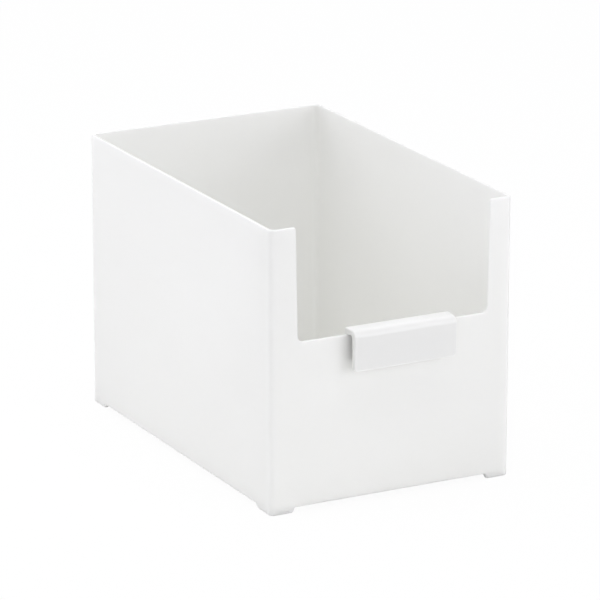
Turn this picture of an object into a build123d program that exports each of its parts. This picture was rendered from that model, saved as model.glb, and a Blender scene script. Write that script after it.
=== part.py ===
from build123d import *
import os

# An open-top storage box with a cut-out front, and the pull that clips over the edge of the
# cut-out. Millimetres. +X runs to the right across the front, +Y from front to back, +Z up.
# The origin is on the surface the box stands on, in the middle of the whole outline.

# Box: overall size, wall and radii
box_width = 158.5
box_depth = 240.2
box_height = 171.6
wall = 1.8
floor_thickness = 2.0
corner_radius = 3.6
inner_corner_radius = 3.0
floor_fillet = 2.4
rim_edge_radius = 0.6
bottom_edge_radius = 1.2

# Box: cut-out in the front wall, from the rim down
cutout_bottom = 103.0
cutout_width_top = 127.4
cutout_width_bottom = 124.7
cutout_shift = 0.8
cutout_corner_radius = 4.0
post_tip_radius = 1.6

# Box: four corner feet, each an angle of two legs, with the walls' bottom relieved between them
foot_height = 3.1
foot_leg = 2.4
foot_inner_radius = 1.2
foot_length_front = 14.6
foot_run_front = 1.8
foot_length_side = 15.8
foot_run_side = 3.5
side_relief = 2.3
relief_corner_radius = 1.2

# Box: round dimple of the injection point, under the floor
gate_radius = 4.0
gate_depth = 0.4

# Pull: a strip that hooks over the cut-out's edge and hangs in front of the wall
pull_width = 68.4
pull_taper = 0.6
pull_shift = 4.7
pull_reach = 8.2
pull_drop = 20.8
pull_plate = 3.0
pull_lean = 0.5
pull_web = 3.7
pull_roof = 0.7
pull_bend_radius = 4.4
pull_back_radius = 1.0
pull_inside_radius = 1.8
pull_leg_radius = 0.6
pull_corner_radius = 2.4
pull_edge_radius = 0.9
inner_leg = 1.6
inner_leg_length = 16.0
outer_leg = 1.2
outer_leg_length = 4.5
outer_leg_width = 52.0
clip_clearance = 0.2

# Places of the box that follow from the sizes above
left_face = -box_width / 2
front_face = (pull_reach - box_depth) / 2
back_face = front_face + box_depth
box_middle = (front_face + back_face) / 2
floor_top = foot_height + floor_thickness
selection_margin = 0.1

with BuildPart() as tub:
    # Outer body, from the feet to the rim
    with BuildSketch():
        with Locations((0, box_middle)):
            RectangleRounded(box_width, box_depth, corner_radius)
    extrude(amount=box_height)

    # Flat underside between the walls
    with BuildSketch():
        with Locations((0, box_middle)):
            RectangleRounded(
                box_width - 2 * foot_leg, box_depth - 2 * foot_leg, foot_inner_radius
            )
    extrude(amount=foot_height, mode=Mode.SUBTRACT)

    # Relief between the feet, seen from the front and then from the side
    with BuildSketch(Plane.XZ.offset(-front_face)):
        Polygon(
            (left_face + foot_length_front - foot_run_front, -foot_height),
            (-left_face - foot_length_front + foot_run_front, -foot_height),
            (-left_face - foot_length_front - foot_run_front, foot_height),
            (left_face + foot_length_front + foot_run_front, foot_height),
            align=None,
        )
        fillet(vertices().group_by(Axis.Y)[-1], relief_corner_radius)
    extrude(amount=-box_depth, mode=Mode.SUBTRACT)
    with BuildSketch(Plane.YZ.offset(left_face)):
        Polygon(
            (front_face + foot_length_side - foot_run_side, -side_relief),
            (back_face - foot_length_side + foot_run_side, -side_relief),
            (back_face - foot_length_side - foot_run_side, side_relief),
            (front_face + foot_length_side + foot_run_side, side_relief),
            align=None,
        )
        fillet(vertices().group_by(Axis.Y)[-1], relief_corner_radius)
    extrude(amount=box_width, mode=Mode.SUBTRACT)

    # Rounded outer edges all along the bottom of the walls and round the soles of the feet
    side_walls = tub.faces().filter_by(Axis.X).group_by(Axis.X)
    end_walls = tub.faces().filter_by(Axis.Y).group_by(Axis.Y)
    outer_walls = side_walls[0] + side_walls[-1] + end_walls[0] + end_walls[-1]
    low_edges = outer_walls.edges().filter_by_position(Axis.Z, 0, foot_height)
    sole_edges = tub.edges().group_by(Axis.Z)[0]
    inner_x = box_width / 2 - foot_leg + selection_margin
    inner_y = box_depth / 2 - foot_leg + selection_margin
    inner_sole_edges = sole_edges.filter_by_position(Axis.X, -inner_x, inner_x).filter_by_position(
        Axis.Y, box_middle - inner_y, box_middle + inner_y
    )
    fillet(low_edges + (sole_edges - low_edges - inner_sole_edges), bottom_edge_radius)

    # Dimple of the injection point
    with BuildSketch(Plane.XY.offset(foot_height)):
        with Locations((0, box_middle)):
            Circle(gate_radius)
    extrude(amount=gate_depth, mode=Mode.SUBTRACT)

    # Storage space, with a soft radius where the walls meet the floor
    with BuildSketch(Plane.XY.offset(floor_top)):
        with Locations((0, box_middle)):
            RectangleRounded(box_width - 2 * wall, box_depth - 2 * wall, inner_corner_radius)
    extrude(amount=box_height - floor_top, mode=Mode.SUBTRACT)
    inside_floor = tub.faces().filter_by_position(
        Axis.Z, floor_top - selection_margin, floor_top + selection_margin
    )
    fillet(inside_floor.edges(), floor_fillet)

    # Cut-out: a little narrower at the bottom than at the rim, with rounded lower corners
    with BuildSketch(Plane.XZ.offset(-front_face)):
        Polygon(
            (cutout_shift - cutout_width_bottom / 2, cutout_bottom),
            (cutout_shift + cutout_width_bottom / 2, cutout_bottom),
            (cutout_shift + cutout_width_top / 2, box_height),
            (cutout_shift - cutout_width_top / 2, box_height),
            align=None,
        )
        fillet(vertices().group_by(Axis.Y)[0], cutout_corner_radius)
    extrude(amount=-2 * wall, mode=Mode.SUBTRACT)

    # Rounded tips of the two posts beside the cut-out
    post_tips = (
        tub.edges()
        .filter_by(Axis.Y)
        .filter_by_position(Axis.Z, box_height - selection_margin, box_height)
        .filter_by_position(Axis.Y, front_face, front_face + wall)
    )
    fillet(post_tips, post_tip_radius)

    # Softened edges along the rim and round the cut-out
    rim_edges = tub.edges().filter_by_position(
        Axis.Z, cutout_bottom - selection_margin, box_height
    )
    across_wall = rim_edges.filter_by(Axis.Y).filter_by_position(
        Axis.Y, front_face, front_face + wall
    )
    fillet(rim_edges - across_wall, rim_edge_radius)

# Places of the pull: it hooks over the front wall and its web rests on the cut-out's edge
plate_front = front_face - pull_reach
plate_back = plate_front + pull_plate
outer_leg_back = front_face - clip_clearance
outer_leg_front = outer_leg_back - outer_leg
inner_leg_front = front_face + wall + clip_clearance
inner_leg_back = inner_leg_front + inner_leg
web_top = cutout_bottom + pull_web
gap_roof = cutout_bottom + pull_roof
bend_end = web_top - pull_bend_radius
plate_end = cutout_bottom - pull_drop
inner_leg_end = cutout_bottom - inner_leg_length

with BuildPart() as pull:
    # Section, seen from the side: inner leg, web over the wall, arched roof of the gap, bend, plate
    with BuildSketch(Plane.YZ.offset(pull_shift - pull_width / 2)):
        with BuildLine():
            Line((inner_leg_back, web_top), (plate_front + pull_bend_radius, web_top))
            RadiusArc(
                (plate_front + pull_bend_radius, web_top),
                (plate_front, bend_end),
                -pull_bend_radius,
            )
            TangentArc(
                (plate_front, bend_end), (plate_front + pull_lean, plate_end), tangent=(0, -1)
            )
            Polyline(
                (plate_front + pull_lean, plate_end),
                (plate_back, plate_end),
                (plate_back, gap_roof),
                (outer_leg_front, gap_roof),
                (outer_leg_front, cutout_bottom),
                (inner_leg_front, cutout_bottom),
                (inner_leg_front, inner_leg_end),
                (inner_leg_back, inner_leg_end),
                (inner_leg_back, web_top),
            )
        make_face()
        fillet(vertices().sort_by_distance((plate_back, gap_roof))[0], pull_inside_radius)
        fillet(vertices().sort_by_distance((outer_leg_front, gap_roof))[0], pull_leg_radius)
        fillet(vertices().sort_by_distance((inner_leg_back, web_top))[0], pull_back_radius)
    extrude(amount=pull_width)

    # Ends that come in a little towards the front, seen from above
    with BuildSketch():
        Polygon(
            (pull_shift - pull_width / 2 + pull_taper, plate_front),
            (pull_shift + pull_width / 2 - pull_taper, plate_front),
            (pull_shift + pull_width / 2, inner_leg_back),
            (pull_shift - pull_width / 2, inner_leg_back),
            align=None,
        )
    extrude(amount=box_height, mode=Mode.INTERSECT)

    # Rounded lower corners of the inner leg and of the plate
    for lower_end in (inner_leg_end, plate_end):
        lower_corners = pull.edges().filter_by_position(
            Axis.Z, lower_end - selection_margin, lower_end + selection_margin
        )
        fillet(lower_corners.filter_by(Axis.X, reverse=True), pull_corner_radius)

    # Softened ends of the web, its bend and the plate
    web_face = pull.faces().sort_by(Axis.Z)[-1]
    bend_and_plate = pull.faces().filter_by(GeomType.CYLINDER).sort_by(SortBy.AREA)[-2:]
    end_edges = (web_face.edges() + bend_and_plate.edges()).filter_by(Axis.X, reverse=True)
    fillet(end_edges, pull_edge_radius)

    # Short outer leg, set in from both ends
    with BuildSketch(Plane.XY.offset(cutout_bottom)):
        with Locations((pull_shift, outer_leg_back - outer_leg / 2)):
            Rectangle(outer_leg_width, outer_leg)
    extrude(amount=-outer_leg_length)

tub.part.label = "tub"
pull.part.label = "pull"

os.makedirs("parts", exist_ok=True)
export_step(tub.part, "parts/tub.step")
export_step(pull.part, "parts/pull.step")
print("tub", round(tub.part.volume), "mm3, pull", round(pull.part.volume), "mm3")
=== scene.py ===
# %% [markdown]
# # A white storage box and its clip-on pull
#
# The object is an open-top box moulded in one go from white plastic, with a cut-out front, and a
# small pull that hooks over the edge of the cut-out. Both pieces come out of the CAD model with
# their real shape and size, so this lesson is about the other half of a picture: a camera that
# stands where the photographer stood, two milky white plastics that differ only a little, and
# light that is soft enough to keep white on white readable.

from math import radians

import bpy
from mathutils import Euler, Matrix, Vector


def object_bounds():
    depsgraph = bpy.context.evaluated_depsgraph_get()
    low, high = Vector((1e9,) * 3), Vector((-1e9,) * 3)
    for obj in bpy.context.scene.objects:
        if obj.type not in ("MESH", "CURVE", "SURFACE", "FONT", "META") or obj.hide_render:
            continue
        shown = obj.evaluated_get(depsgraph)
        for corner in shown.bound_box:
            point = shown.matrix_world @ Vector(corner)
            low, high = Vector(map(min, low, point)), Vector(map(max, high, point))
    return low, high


mm_per_m = 1000

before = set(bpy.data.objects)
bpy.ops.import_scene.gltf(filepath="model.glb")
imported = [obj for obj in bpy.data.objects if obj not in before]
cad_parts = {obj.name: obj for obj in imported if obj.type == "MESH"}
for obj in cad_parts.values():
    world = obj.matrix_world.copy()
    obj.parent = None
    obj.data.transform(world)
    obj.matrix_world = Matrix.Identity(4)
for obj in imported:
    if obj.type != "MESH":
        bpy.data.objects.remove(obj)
cad_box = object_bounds()
print("size in mm", [round(mm_per_m * side) for side in cad_box[1] - cad_box[0]])

# %% [markdown]
# ## The camera
#
# The photograph was taken from far away with a long lens: the upright edges of the box are almost
# parallel. The straight edges give the direction and the distance, because lines that run to the
# back meet in one point, and the size of the box then gives the place in metres.
#
# Blender turns a camera by its own three angles: it starts looking straight down, the first angle
# lifts it, and the last turns it round the upright axis. A lamp is aimed in the same way, so both
# use one helper. It takes the side from which they look at the box: an azimuth of 0 is straight in
# front of the box and grows towards the right, and an elevation of 0 is level. A little roll about
# the camera's own line of sight is added at the end.

# %% Aim a camera or a lamp at the box
quarter_turn = radians(90)


def aim_from(azimuth, elevation):
    return Euler((quarter_turn - elevation, 0, azimuth))


# %% Put the camera where the photograph was taken
camera_place = Vector((-1.1928, -2.27089, 0.87867))
camera_azimuth = radians(-27.7248)
camera_elevation = radians(17.1319)
camera_roll = radians(0.06)
focal_length_px = 4472.0
image_size_px = 600.0
sensor_width_mm = 36.0

camera_data = bpy.data.cameras.new("camera")
camera_data.sensor_width = sensor_width_mm
camera_data.lens = focal_length_px / image_size_px * sensor_width_mm
camera = bpy.data.objects.new("camera", camera_data)
camera.location = camera_place
camera.rotation_euler = aim_from(camera_azimuth, camera_elevation)
camera.rotation_euler.rotate_axis("Z", camera_roll)
bpy.context.scene.collection.objects.link(camera)
bpy.context.scene.camera = camera
print("lens in mm", round(camera_data.lens, 1))

# %% [markdown]
# ## Helpers for shader nodes
#
# Every material here is wired by code. Two small helpers keep that readable: one adds a node at
# its place in the node editor and sets its sockets by name, the other joins an output to an input.

# %% Add a node, and join two sockets
def add_node(tree, kind, place, **values):
    node = tree.nodes.new(kind)
    node.location = place
    for name, value in values.items():
        node.inputs[name.replace("_", " ")].default_value = value
    return node


def join(tree, output, socket):
    tree.links.new(output, socket)


# %% [markdown]
# ## The moulded skin, shared by both plastics
#
# A moulded part copies its mould: a fine even grain where the steel was spark-eroded, and a slow
# waviness where the wall cooled unevenly. Neither is a colour, yet both decide how a white wall
# takes the light. A third, patchy noise lets the tone and the gloss drift by a trace, because no
# moulded wall is quite even.
#
# Painting all this as an image would need unwrapped faces. Noise that reads the object's own
# coordinates needs none, and it has the same scale on every wall, so the skin is built once as a
# node group. Each material then places the group with its own sizes.

# %% Name the noises and the sockets of the skin
fine_grain = {"Detail": 3.0, "Roughness": 0.6}
slow_waves = {"Detail": 2.0, "Roughness": 0.5}
soft_patches = {"Detail": 4.0, "Roughness": 0.55, "Distortion": 0.4}
patch_range = {"From_Min": 0.3, "From_Max": 0.7}
skin_inputs = (
    "Grain Scale",
    "Wave Scale",
    "Wave Share",
    "Tone Low",
    "Tone High",
    "Rough Low",
    "Rough High",
)
skin_outputs = ("Height", "Tone", "Roughness")

# %% Build the node group of the moulded skin
def make_moulded_skin():
    group = bpy.data.node_groups.new("moulded_skin", "ShaderNodeTree")
    for name in skin_inputs:
        group.interface.new_socket(name, in_out="INPUT", socket_type="NodeSocketFloat")
    for name in skin_outputs:
        group.interface.new_socket(name, in_out="OUTPUT", socket_type="NodeSocketFloat")

    entry = add_node(group, "NodeGroupInput", (-900, 0))
    place = add_node(group, "ShaderNodeTexCoord", (-900, -300))
    grain = add_node(group, "ShaderNodeTexNoise", (-600, 200), **fine_grain)
    waves = add_node(group, "ShaderNodeTexNoise", (-600, -100), **slow_waves)
    patches = add_node(group, "ShaderNodeTexNoise", (-600, -400), **soft_patches)
    for noise, scale in ((grain, "Grain Scale"), (waves, "Wave Scale"), (patches, "Wave Scale")):
        join(group, place.outputs["Object"], noise.inputs["Vector"])
        join(group, entry.outputs[scale], noise.inputs["Scale"])

    height = add_node(group, "ShaderNodeMix", (-300, 100))
    join(group, entry.outputs["Wave Share"], height.inputs["Factor"])
    join(group, grain.outputs["Fac"], height.inputs["A"])
    join(group, waves.outputs["Fac"], height.inputs["B"])

    leave = add_node(group, "NodeGroupOutput", (200, 0))
    join(group, height.outputs["Result"], leave.inputs["Height"])
    for output, low, high, lift in (
        ("Tone", "Tone Low", "Tone High", -100),
        ("Roughness", "Rough Low", "Rough High", -350),
    ):
        spread = add_node(group, "ShaderNodeMapRange", (-100, lift), **patch_range)
        join(group, patches.outputs["Fac"], spread.inputs["Value"])
        join(group, entry.outputs[low], spread.inputs["To Min"])
        join(group, entry.outputs[high], spread.inputs["To Max"])
        join(group, spread.outputs["Result"], leave.inputs[output])
    return group


moulded_skin = make_moulded_skin()
print("group", moulded_skin.name, "with", len(moulded_skin.nodes), "nodes")

# %% [markdown]
# ## The two white plastics
#
# Both pieces are moulded from milky white plastic, which is not quite opaque. Of the light that
# falls on the outside of a thin wall, a little comes out inside, so the inside of the real box is
# less dark than plain white paint would make it, and thin rims do not stand out as hard lines.
# Subsurface scattering does just that. Its scale is how far light gets into the plastic before it
# turns, a few millimetres in the box and less in the denser pull.
#
# White plastic is never pure white: at a base colour of 1 no light would be lost in the corners,
# and the inside would glow. The box is satin, with a trace of warmth that shows only inside, where
# the light bounces several times. The pull is a touch greyer and comes from a smoother mould.

# %% Make a white plastic from its own values
plastic_ior = 1.49
fully_milky = 1.0
same_in_all_colours = (1, 1, 1)
wave_share = 0.5
bump_strength = 0.35


def make_plastic(
    name, dark, light, rough_low, rough_high, grain_scale, wave_scale, bump_depth, specular, see_in
):
    material = bpy.data.materials.new(name)
    material.use_nodes = True
    tree = material.node_tree
    shader = tree.nodes["Principled BSDF"]
    shader.inputs["IOR"].default_value = plastic_ior
    shader.inputs["Specular IOR Level"].default_value = specular
    shader.inputs["Subsurface Weight"].default_value = fully_milky
    shader.inputs["Subsurface Radius"].default_value = same_in_all_colours
    shader.inputs["Subsurface Scale"].default_value = see_in

    skin = add_node(tree, "ShaderNodeGroup", (-900, 0))
    skin.node_tree = moulded_skin
    for socket, value in {
        "Grain Scale": grain_scale,
        "Wave Scale": wave_scale,
        "Wave Share": wave_share,
        "Tone Low": 0.0,
        "Tone High": 1.0,
        "Rough Low": rough_low,
        "Rough High": rough_high,
    }.items():
        skin.inputs[socket].default_value = value

    colour = add_node(tree, "ShaderNodeMix", (-500, 200))
    colour.data_type = "RGBA"
    colour.inputs["A"].default_value = (*dark, 1)
    colour.inputs["B"].default_value = (*light, 1)
    join(tree, skin.outputs["Tone"], colour.inputs["Factor"])
    join(tree, colour.outputs["Result"], shader.inputs["Base Color"])
    join(tree, skin.outputs["Roughness"], shader.inputs["Roughness"])

    bump = add_node(
        tree, "ShaderNodeBump", (-500, -300), Strength=bump_strength, Distance=bump_depth
    )
    join(tree, skin.outputs["Height"], bump.inputs["Height"])
    join(tree, bump.outputs["Normal"], shader.inputs["Normal"])
    return material


# %% Mix the two plastics
satin_white = make_plastic(
    "satin_white",
    dark=(0.914, 0.914, 0.875),
    light=(0.922, 0.922, 0.883),
    rough_low=0.58,
    rough_high=0.64,
    grain_scale=2200.0,
    wave_scale=14.0,
    bump_depth=0.00001,
    specular=0.3,
    see_in=0.005,
)
polished_white = make_plastic(
    "polished_white",
    dark=(0.866, 0.866, 0.848),
    light=(0.870, 0.870, 0.852),
    rough_low=0.28,
    rough_high=0.31,
    grain_scale=3000.0,
    wave_scale=30.0,
    bump_depth=0.000005,
    specular=0.5,
    see_in=0.001,
)
print("plastics", satin_white.name, "and", polished_white.name)

# %% Give each piece its plastic
for node, material, slot in (
    ("tub", satin_white, "box_plastic"),
    ("pull", polished_white, "pull_plastic"),
):
    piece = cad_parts[node]
    piece.data.materials.clear()
    piece.data.materials.append(material)
    print(node, "wears", material.name, "on", len(piece.data.polygons), "faces")

# %% [markdown]
# ## The floor
#
# In the photograph the box stands on endless white. A floor painted white and lit from above gets
# there only if it is lit harder than the box, and the box then burns out. So the floor keeps a
# plain white paint for the light that it throws back on the box, and where the camera or a
# reflection sees it, nearly all of that is replaced by an even white, through the Light Path node.
# The small share of paint that is left keeps a faint shadow under the box.
#
# The sky behind the floor needs the same switch, so it is a helper, and so is the blend of what
# lights the box with what is seen.

# %% Tell what is seen from what only lights
pure_white = (1, 1, 1, 1)
node_step = 200


def seen_ray(tree, place):
    x, y = place
    light_path = add_node(tree, "ShaderNodeLightPath", place)
    seen = light_path.outputs["Is Camera Ray"]
    for ray in ("Is Glossy Ray", "Is Transmission Ray"):
        x += node_step
        either = add_node(tree, "ShaderNodeMath", (x, y))
        either.operation = "MAXIMUM"
        join(tree, seen, either.inputs[0])
        join(tree, light_path.outputs[ray], either.inputs[1])
        seen = either.outputs[0]
    return seen


def blend_shaders(tree, place, share, lit, seen):
    blend = add_node(tree, "ShaderNodeMixShader", place)
    join(tree, share, blend.inputs[0])
    join(tree, lit.outputs[0], blend.inputs[1])
    join(tree, seen.outputs[0], blend.inputs[2])
    return blend.outputs[0]


# %% Lay the floor
floor_size = 24.0

bpy.ops.object.select_all(action="DESELECT")
bpy.ops.mesh.primitive_plane_add(size=floor_size, location=(0, 0, cad_box[0].z))
floor = bpy.context.object
floor.name = "floor"
print("floor", floor_size, "m wide at height", round(floor.location.z, 4))

# %% Paint the floor
floor_paint = (0.95, 0.95, 0.95)
shadow_share = 0.05

floor_white = bpy.data.materials.new("floor_white")
floor_white.use_nodes = True
tree = floor_white.node_tree
tree.nodes.clear()
share = add_node(tree, "ShaderNodeMath", (-400, 300))
share.operation = "MULTIPLY"
share.inputs[1].default_value = 1 - shadow_share
join(tree, seen_ray(tree, (-1000, 300)), share.inputs[0])
paint = add_node(tree, "ShaderNodeBsdfDiffuse", (-400, 0), Color=(*floor_paint, 1))
plain = add_node(tree, "ShaderNodeEmission", (-400, -200), Color=pure_white, Strength=1.0)
out = add_node(tree, "ShaderNodeOutputMaterial", (100, 0))
join(tree, blend_shaders(tree, (-150, 0), share.outputs[0], paint, plain), out.inputs["Surface"])
floor.data.materials.append(floor_white)
print("paint kept for the shadow", shadow_share)

# %% [markdown]
# ## The light
#
# White on white needs light from nearly everywhere, or the inside of the box goes grey, and yet
# each wall has to differ a little from the next, or the edges vanish. One lamp behind on the left
# makes the side wall the brightest upright face, and the corner between it and the front, which
# faces neither, stays a shade darker. Two low lamps in front light the front wall, the stronger
# one from the right, because the photographed wall is a little brighter at that end. A high one on
# the left reaches over the side wall to the inside of the right one. The last two, overhead and
# behind, brighten what faces up: the rims and, most of all, the top of the pull.

# %% Fill evenly from the sky
sky_fill = 0.243
light_colour = (0.974, 0.974, 1.0)

world = bpy.data.worlds.new("studio")
world.use_nodes = True
bpy.context.scene.world = world
tree = world.node_tree
fill = tree.nodes["Background"]
fill.inputs["Color"].default_value = (*light_colour, 1)
fill.inputs["Strength"].default_value = sky_fill
backdrop = add_node(tree, "ShaderNodeBackground", (10, 100), Color=pure_white, Strength=1.0)
sky = blend_shaders(tree, (160, 300), seen_ray(tree, (-600, 500)), fill, backdrop)
join(tree, sky, tree.nodes["World Output"].inputs["Surface"])
print("sky fill", sky_fill)

# %% Hang the soft lamps
lamp_target = (cad_box[0] + cad_box[1]) / 2
lamp_distance = 2.2
lamp_size = 1.6


def add_soft_lamp(name, azimuth, elevation, watts):
    turn = aim_from(radians(azimuth), radians(elevation))
    data = bpy.data.lights.new(name, "AREA")
    data.shape = "SQUARE"
    data.size = lamp_size
    data.energy = watts
    data.color = light_colour
    lamp = bpy.data.objects.new(name, data)
    lamp.location = lamp_target + turn.to_matrix() @ Vector((0, 0, lamp_distance))
    lamp.rotation_euler = turn
    bpy.context.scene.collection.objects.link(lamp)
    print(name, "at", [round(v, 2) for v in lamp.location])


for name, azimuth, elevation, watts in (
    ("lamp_left_back", -130, 20, 15.0),
    ("lamp_left_high", -90, 40, 7.5),
    ("lamp_front_left", -28, 17, 5.1),
    ("lamp_front_right", 35, 12, 19.6),
    ("lamp_right_back", 150, 45, 10.2),
    ("lamp_overhead", 0, 88, 23.6),
):
    add_soft_lamp(name, azimuth, elevation, watts)

# %% Keep the colours as written
bpy.context.scene.view_settings.view_transform = "Standard"
